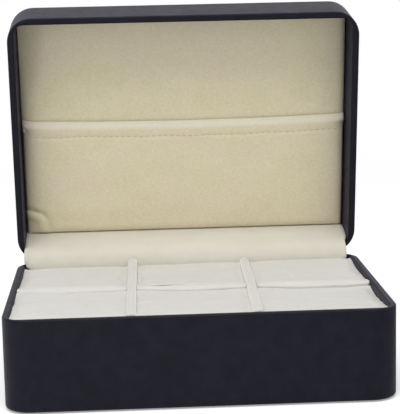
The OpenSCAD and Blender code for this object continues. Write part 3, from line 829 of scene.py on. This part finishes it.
def face_rise(x, y):
    """How far the lining's face stands out from its flat level."""
    return crown(x, y) + quilt(x, y) - edge_fall(x, y)


def lining_face(p):
    """Moves a point of the flat lining out with its face; the back stays."""
    share = min(max((LINING_BACK - p.z) / (LINING_BACK - LINING_FACE), 0), 1)
    return p - Vector((0, 0, share * face_rise(p.x, p.y)))


def cover_z(x, y, out):
    """Height at which a cloth lies that far out from the lining's surface."""
    return lining_face(Vector((x, y, LINING_FACE + edge_drop(x, y)))).z - out


move_points(lining, lining_face)
move_points(lining, lambda p: open_lid @ p)
soften(lining)
lining.data.materials.append(suede_cloth("beige_suede_cloth"))
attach(lining, "lid")
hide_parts("lid_lining")


# Pocket
# One suede cloth over the rear half of the lining, tucked round its rear edge. At the mouth
# it is folded back into a hem that is sewn down over a flat elastic, which ruffles it.
POCKET_HIGH = 63.5 * MM
POCKET_SAG = 1.4 * MM
HEM = 8 * MM
FOLD = 1.3 * MM
HEM_SWELL = 1.7 * MM
HEM_CREST = 3.4 * MM
HEM_FADE = 26 * MM
SEAM_DEEP = 0.45 * MM
CLOTH = 0.45 * MM
LIE = 0.35 * MM
POCKET_SIDE = 0.4 * MM
TUCK = 2.4 * MM
SEAM_WANDER = 0.8 * MM
RUFFLE = 0.12 * MM
RUFFLE_STEP = 4.6 * MM
SLACK = 0.35 * MM
ACROSS = 150
ALONG = 96
rear_y = high.y
pocket_half = FACE_HALF.x - POCKET_SIDE
fold_r = FOLD / 2
# Lengths along the cloth: tucked end, face, fold at the mouth, and the hem's inner layer.
face_length = POCKET_HIGH - fold_r
PARTS = [TUCK, face_length, math.pi * fold_r, HEM - fold_r]
POCKET_LENGTH = sum(PARTS)


def seam_wander(x):
    """How far the hem's seam strays from its line."""
    return SEAM_WANDER * unevenness(Vector((x, 0, 0)), 20 * MM, 13)


def hem_height(x, from_mouth):
    """Height of the outer layer over the lining: a soft roll below the fold, from which the
    cloth comes back to the lining lower down. The seam draws it in, and so does the side."""
    swell = HEM_SWELL * math.sin(math.pi / 2 * min(from_mouth / HEM_CREST, 1))
    height = (FOLD + swell) * math.exp(-max(from_mouth - HEM_CREST, 0) / HEM_FADE)
    seam = HEM + seam_wander(x)
    tight = 0.6 + 0.8 * unevenness(Vector((x, 0, 0)), 9 * MM, 17)
    height -= SEAM_DEEP * tight * math.exp(-((from_mouth - seam) / (0.9 * MM)) ** 2)
    side = math.exp(-(pocket_half - abs(x)) / (3 * MM)) * smooth((from_mouth - 2.5 * MM)
        / (3 * MM))
    return height * (1 - 0.9 * side)


def pocket_place(u, s):
    """Place of the cloth's middle, with the lid shut: u from -1 to 1 across, s along."""
    x = u * pocket_half
    mouth = rear_y - POCKET_HIGH + POCKET_SAG * (1 - u * u)
    stretch = (rear_y - mouth - fold_r) / face_length
    ruffle = math.sin(x / RUFFLE_STEP + 2 * unevenness(Vector((x, 0, 0)), 15 * MM, 3))
    if s < TUCK:
        t = s / TUCK
        return Vector((x, rear_y + 0.25 * MM, LINING_BACK - 0.4 * MM - t * (TUCK - 0.6 * MM)))
    s -= TUCK
    if s < face_length:
        y = rear_y - s * stretch
        from_mouth = max(y - mouth, 0)
        lift = hem_height(x, from_mouth) * smooth(s / (14 * MM))
        lift += ruffle * RUFFLE * math.exp(-abs(from_mouth - HEM) / (4 * MM))
        slack = SLACK * math.sin(math.pi * min(s / face_length, 1)) ** 2
        billow = SLACK * unevenness(Vector((x, y, 0)), 18 * MM, 8)
        lift += slack + billow * smooth(s / (10 * MM)) * smooth(from_mouth / (12 * MM))
        return Vector((x, y, cover_z(x, y, LIE + CLOTH / 2 + lift)))
    s -= face_length
    flat = cover_z(x, mouth, LIE + CLOTH / 2)
    if s < math.pi * fold_r:
        a = s / fold_r
        return Vector((x, mouth + fold_r * (1 - math.sin(a)),
            flat - fold_r * (1 + math.cos(a))))
    s -= math.pi * fold_r
    y = mouth + fold_r + s
    return Vector((x, y, cover_z(x, y, LIE + CLOTH / 2)))


# The cloth has pulled loose at its lower left corner. A crease runs in from the side and
# bends down to the rear edge, with a loose bulge in the corner that it cuts off. Its line
# is in millimetres on the shut lid.
CREASE_LINE = [(-86.5, 43.4), (-82, 44.2), (-77.5, 45.6), (-75, 48.6), (-74.6, 53)]
CREASE_DEEP = 1.1 * MM
CREASE_WIDE = 1.3 * MM
BULGE = 0.75 * MM
BULGE_AWAY = 3.2 * MM
BULGE_WIDE = 2.4 * MM


def pucker(p):
    """How far the cloth stands out at a point of the loose corner, or is drawn in."""
    nearest = None
    for k, (a, b) in enumerate(zip(CREASE_LINE, CREASE_LINE[1:])):
        start, step = Vector(a) * MM, (Vector(b) - Vector(a)) * MM
        flat = Vector((p.x, p.y)) - start
        t = min(max(flat.dot(step) / step.length_squared, 0), 1)
        away = flat - step * t
        if nearest is None or away.length < nearest[0]:
            side = -step.y * flat.x + step.x * flat.y
            nearest = (away.length, side, (k + t) / (len(CREASE_LINE) - 1))
    distance, side, along = nearest
    fade = 1 - 0.75 * smooth((along - 0.2) / 0.8)
    crease = CREASE_DEEP * fade * math.exp(-(distance / CREASE_WIDE) ** 2)
    bulge = BULGE * math.exp(-((distance - BULGE_AWAY) / BULGE_WIDE) ** 2)
    return (bulge if side > 0 else bulge * 0.25 * fade) - crease


def cloth_grid(name, across, along, place_at):
    """A grid of cloth with a UV map, whose points are placed from their share across and
    along, each from 0 to 1."""
    bpy.ops.object.select_all(action="DESELECT")
    bpy.ops.mesh.primitive_grid_add(x_subdivisions=across, y_subdivisions=along, size=1)
    made = bpy.context.object
    made.name = name
    made.data.name = name
    move_points(made, lambda p: place_at(p.x + 0.5, p.y + 0.5))
    return made


def pocket_point(u, v):
    p = pocket_place(2 * u - 1, v * POCKET_LENGTH)
    return open_lid @ (p - Vector((0, 0, pucker(p) if v * POCKET_LENGTH < face_length else 0)))


pocket = cloth_grid("pocket_cloth", ACROSS, ALONG, pocket_point)
apply_modifier(pocket, "SOLIDIFY", thickness=CLOTH, offset=0)
soften(pocket)
FOLD_AT = TUCK + face_length
# The fold at the pocket's mouth gets a painted highlight: its crest is painted paler.
pocket.data.materials.append(suede_cloth("folded_suede_cloth_painted_highlight",
    ((FOLD_AT - 4 * MM) / POCKET_LENGTH, (FOLD_AT - 1.5 * MM) / POCKET_LENGTH, 0, 0.5)))
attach(pocket, "lid")
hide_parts("lid_pocket")

# The hem's seam: a row of thread stitches, each sunk a little in the cloth. The thread is
# twisted cotton, a little darker than the cloth, and its twist breaks up the light.
STITCH = 2.3 * MM
STITCH_STEP = 3.2 * MM
THREAD = 0.2 * MM
SEAM_END = 3 * MM
STITCH_LEAN = math.radians(6)
thread, tree, shader, place = material("beige_thread")
twist = grain(tree, place.outputs["Object"], THREAD)
tree.links.new(mix(tree, twist, colour("#b3a682"), colour("#d2c8a8")),
    shader.inputs["Base Color"])
shader.inputs["Roughness"].default_value = 0.7
bpy.ops.object.select_all(action="DESELECT")
bpy.ops.mesh.primitive_uv_sphere_add(segments=8, ring_count=6, radius=1,
    rotation=(0, math.pi / 2, 0), scale=(THREAD, THREAD, STITCH / 2))
stitch = bpy.context.object
bpy.ops.object.transform_apply(location=True, rotation=True, scale=True)
seam_half = pocket_half - SEAM_END
count = int(2 * seam_half / STITCH_STEP)
seam = []
for i in range(count):
    u = (i + 0.5) / count * 2 - 1
    u *= seam_half / pocket_half
    x = u * pocket_half
    middle = pocket_place(u, TUCK + face_length - HEM - seam_wander(x) + fold_r)
    middle.z -= CLOTH * 0.5
    copy = stitch.copy()
    copy.data = stitch.data.copy()
    scene.collection.objects.link(copy)
    lean = STITCH_LEAN * unevenness(Vector((i, 0, 0)), 1.7, 2)
    turn = Matrix.Rotation(lean, 4, "Z")
    copy.data.transform(open_lid @ Matrix.Translation(middle) @ turn)
    seam.append(copy)
bpy.data.objects.remove(stitch)
only(seam[0])
for copy in seam:
    copy.select_set(True)
bpy.ops.object.join()
seam = bpy.context.object
seam.name = "hem_stitching"
soften(seam)
seam.data.materials.append(thread)
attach(seam, "lid")


# Hinge strip
# A velvet strip, glued down behind the rear pads and under the lining. It hides the hinges
# and is taut when the lid is open: it is the lid's stop.
STRIP = 0.5 * MM
CURVE_STEPS = 12
# The strip's line from its foot to its head, as (y, z) in millimetres from the hinge's axis.
STRIP_LINE = [(-4.75, -14), (-4.75, -8), (-4.75, -2.2), (-4.15, 0.9), (-2.6, 3.75),
    (0.5, 5.9), (4.8, 7.6), (12.1, 9.75), (17.9, 10.7), (21.2, 11.3), (24.9, 11.6)]


def through(points, steps):
    """A smooth curve through points, each a pair, with steps between two points."""
    first = [2 * a - b for a, b in zip(points[0], points[1])]
    last = [2 * a - b for a, b in zip(points[-1], points[-2])]
    p = [first, *points, last]
    line = []
    for k in range(1, len(p) - 2):
        for i in range(steps + (k == len(p) - 3)):
            t = i / steps
            line.append([0.5 * (2 * b + (c - a) * t + (2 * a - 5 * b + 4 * c - d) * t * t
                + (3 * b - a - 3 * c + d) * t ** 3)
                for a, b, c, d in zip(p[k - 1], p[k], p[k + 1], p[k + 2])])
    return line


def spaced(line, count):
    """count points at even steps along a line, and the line's length."""
    reach = [0]
    for a, b in zip(line, line[1:]):
        reach.append(reach[-1] + math.dist(a, b))
    points, k = [], 0
    for i in range(count):
        want = reach[-1] * i / (count - 1)
        while k < len(line) - 2 and reach[k + 1] < want:
            k += 1
        t = (want - reach[k]) / (reach[k + 1] - reach[k])
        points.append([a + (b - a) * t for a, b in zip(line[k], line[k + 1])])
    return points, reach[-1]


STRIP_ROWS = 56
strip_line, strip_length = spaced(through(STRIP_LINE, CURVE_STEPS), STRIP_ROWS)
# Left and right end of the cloth at its foot, over the pads, over the rim and in the lid.
STRIP_FOOT = (-84.3 * MM, 84.3 * MM)
STRIP_INSIDE = (-85.65 * MM, 84.9 * MM)
STRIP_RIM = (-86.4 * MM, 84.9 * MM)
STRIP_HEAD = (-86.35 * MM, 86.3 * MM)
STRIP_WAVE = 0.45 * MM
WAVE_SIZE = 24 * MM
CURL_FORWARD = 0.75
CURL_UP = 0.15


def strip_point(u, v):
    """The cloth narrows where it goes down between the base's rounded inner corners, and
    curls forward at its ends to pass them."""
    y, z = strip_line[round(v * (STRIP_ROWS - 1))]
    # How far the cloth has come up over the pads, then over the rim, then into the lid.
    over_pads = smooth((z + 2.9) / 1.2)
    over_rim = smooth((z + 0.5) / 1.0)
    in_lid = smooth((y - 1) / 5)
    ends = [a + (b - a) * over_pads + (c - b) * over_rim + (d - c) * in_lid
        for a, b, c, d in zip(STRIP_FOOT, STRIP_INSIDE, STRIP_RIM, STRIP_HEAD)]
    x = ends[0] + (ends[1] - ends[0]) * u
    free = math.sin(math.pi * min(max((v - 0.28) / 0.6, 0), 1))
    wave = unevenness(Vector((x, y * MM, 0)), WAVE_SIZE, 11) * STRIP_WAVE
    out = min(max((abs(x) - (inner_x - CASE_CORNER)) / CASE_CORNER, 0), 0.97)
    curl = CASE_CORNER * (1 - math.sqrt(1 - out ** 2)) * over_pads * (1 - in_lid)
    return Vector((x, AXIS.y + y * MM - curl * CURL_FORWARD,
        AXIS.z + z * MM + free * wave + curl * CURL_UP))


strip = cloth_grid("velvet_hinge_strip", 110, STRIP_ROWS - 1, strip_point)
apply_modifier(strip, "SOLIDIFY", thickness=STRIP, offset=0)
soften(strip)

# Cotton velvet: cream, with a shorter and flatter pile than the pads', so less sheen and
# wider, softer patches.
cotton, tree, shader, place = material("cream_cotton_velvet")
fuzz = grain(tree, place.outputs["Object"], PILE, detail=3, roughness=0.7)
crush = grain(tree, place.outputs["Object"], CRUSH * 1.6, detail=3, distortion=0.8)
tone = mix(tree, ramp(tree, crush, 0.3, 0.7), colour("#d6d0c2"), colour("#ddd9cc"))
fleck = mix(tree, ramp(tree, fuzz, 0.35, 0.7), colour("#d3cdbe"), colour("#e1dccf"))
tree.links.new(mix(tree, 0.45, tone, fleck), shader.inputs["Base Color"])
shader.inputs["Roughness"].default_value = 0.95
shader.inputs["Specular IOR Level"].default_value = 0.15
shader.inputs["Sheen Weight"].default_value = 0.45
shader.inputs["Sheen Roughness"].default_value = 0.5
relief(tree, shader, fuzz, 0.1 * MM, 0.5)
strip.data.materials.append(cotton)
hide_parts("hinge_strip")
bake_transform(strip)


# Snap springs
# A flat spring between the rivets of each hinge, bent over the hinge's axis, which snaps
# the lid open or shut. They lie under the strip, and are of the hinges' nickel-plated steel.
SPRING_WIDE = 6 * MM
SPRING_THICK = 0.3 * MM
SPRING_ROWS = 40
# The spring's line, as (y, z) in millimetres from the hinge's axis.
SPRING_LINE = [(-3.75, -10), (-3.75, -2.2), (-3.75, 0.2), (-2.87, 2.74), (-0.87, 4.14),
    (1.95, 4.13), (9.24, 5.35)]
spring_line, _ = spaced(through(SPRING_LINE, CURVE_STEPS), SPRING_ROWS)
for side in ("left", "right"):
    low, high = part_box(f"snap_spring_{side}")
    middle = (low.x + high.x) / 2

    def spring_point(u, v):
        y, z = spring_line[round(v * (SPRING_ROWS - 1))]
        return Vector((middle + (u - 0.5) * SPRING_WIDE, AXIS.y + y * MM, AXIS.z + z * MM))

    spring = cloth_grid(f"flat_spring_{side}", 6, SPRING_ROWS - 1, spring_point)
    apply_modifier(spring, "SOLIDIFY", thickness=SPRING_THICK, offset=0)
    soften(spring)
    spring.data.materials.append(nickel)
    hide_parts(f"snap_spring_{side}")
    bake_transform(spring)
